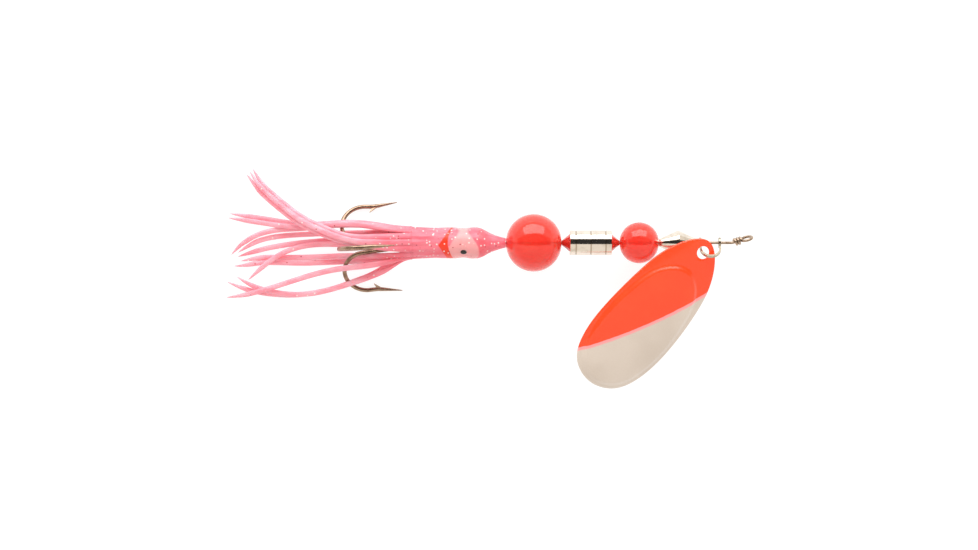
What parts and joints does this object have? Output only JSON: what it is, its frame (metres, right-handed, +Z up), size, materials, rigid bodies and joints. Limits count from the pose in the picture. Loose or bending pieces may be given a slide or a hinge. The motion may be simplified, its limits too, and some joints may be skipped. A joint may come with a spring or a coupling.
{
  "type": "inline spinner lure",
  "caption": "Inline spinner lure: an oval blade on a clevis, beads and a metal sleeve on a wire shaft, and a treble hook inside a soft squid skirt.",
  "frame": {"origin": "centre of the line eye's wire ring, at the front of the shaft", "axes": "+X forwards along the shaft, out of the line eye; +Z up from the table the lure lies on; +Y to its left"},
  "size_m": [0.1287, 0.0544, 0.0194],
  "materials": {
    "wire": "drawn spring wire, slightly dull",
    "clevis_metal": "thin pressed strip",
    "blade_paint": "orange-red over a pearl end, clear coated",
    "bright_metal": "bright nickel plate",
    "bead_plastic": "translucent red-orange moulding",
    "dark_bead": "plain moulding inside the skirt",
    "skirt_rubber": "soft translucent pink with glitter",
    "hook_bronze": "bronzed hook wire"
  },
  "bodies": {
    "shaft": {"shaft_wire": "wire", "skirt_head": "skirt_rubber", "strand_top_centre": "skirt_rubber", "strand_top_left": "skirt_rubber", "strand_top_right": "skirt_rubber", "strand_left_upper": "skirt_rubber", "strand_left_outer": "skirt_rubber", "strand_left_long": "skirt_rubber", "strand_left_low": "skirt_rubber", "strand_under_left": "skirt_rubber", "strand_under_centre": "skirt_rubber", "strand_right_upper": "skirt_rubber", "strand_right_low": "skirt_rubber", "strand_right_outer": "skirt_rubber", "strand_right_long": "skirt_rubber", "strand_under_right": "skirt_rubber"},
    "bicone": {"bicone_bead": "bright_metal"},
    "clevis": {"clevis": "clevis_metal"},
    "blade": {"blade": "blade_paint"},
    "small_bead": {"small_bead": "bead_plastic"},
    "front_faceted": {"front_faceted_bead": "bead_plastic"},
    "sleeve": {"metal_sleeve": "bright_metal"},
    "rear_faceted": {"rear_faceted_bead": "bead_plastic"},
    "big_bead": {"big_bead": "bead_plastic"},
    "keeper": {"keeper_bead": "dark_bead"},
    "treble": {"treble_double_hook": "hook_bronze", "treble_single_hook": "hook_bronze", "treble_braze": "hook_bronze"}
  },
  "joints": [
    {"name": "bicone_slide", "type": "slide", "parent": "shaft", "child": "bicone", "axis": [1, 0, 0], "range_m": [0, 0.0022]},
    {"name": "clevis_spin", "type": "hinge", "parent": "bicone", "child": "clevis", "pos_m": [-0.00895, -0.001, 0], "axis": [1, 0, 0], "continuous": true},
    {"name": "blade_swing", "type": "hinge", "parent": "clevis", "child": "blade", "pos_m": [-0.00895, -0.00251, 0.00131], "axis": [0, 0.6561, 0.7547], "range_deg": [0, 75]},
    {"name": "small_bead_spin", "type": "hinge", "parent": "shaft", "child": "small_bead", "pos_m": [-0.0261, -0.001, 0], "axis": [1, 0, 0], "continuous": true},
    {"name": "front_faceted_spin", "type": "hinge", "parent": "shaft", "child": "front_faceted", "pos_m": [-0.03275, -0.001, 0], "axis": [1, 0, 0], "continuous": true},
    {"name": "sleeve_spin", "type": "hinge", "parent": "shaft", "child": "sleeve", "pos_m": [-0.03787, -0.001, 0], "axis": [1, 0, 0], "continuous": true},
    {"name": "rear_faceted_spin", "type": "hinge", "parent": "shaft", "child": "rear_faceted", "pos_m": [-0.043, -0.001, 0], "axis": [1, 0, 0], "continuous": true},
    {"name": "big_bead_spin", "type": "hinge", "parent": "shaft", "child": "big_bead", "pos_m": [-0.05165, -0.001, 0], "axis": [1, 0, 0], "continuous": true},
    {"name": "keeper_spin", "type": "hinge", "parent": "shaft", "child": "keeper", "pos_m": [-0.06475, -0.001, 0], "axis": [1, 0, 0], "continuous": true},
    {"name": "treble_swing", "type": "hinge", "parent": "shaft", "child": "treble", "pos_m": [-0.0721, -0.001, 0], "axis": [0, 0, 1], "range_deg": [-12, 5], "deforming": ["strand_top_centre", "strand_top_left", "strand_top_right", "strand_left_upper", "strand_left_outer", "strand_left_long", "strand_left_low", "strand_under_left", "strand_under_centre", "strand_right_upper", "strand_right_low", "strand_right_outer", "strand_right_long", "strand_under_right"]}
  ]
}
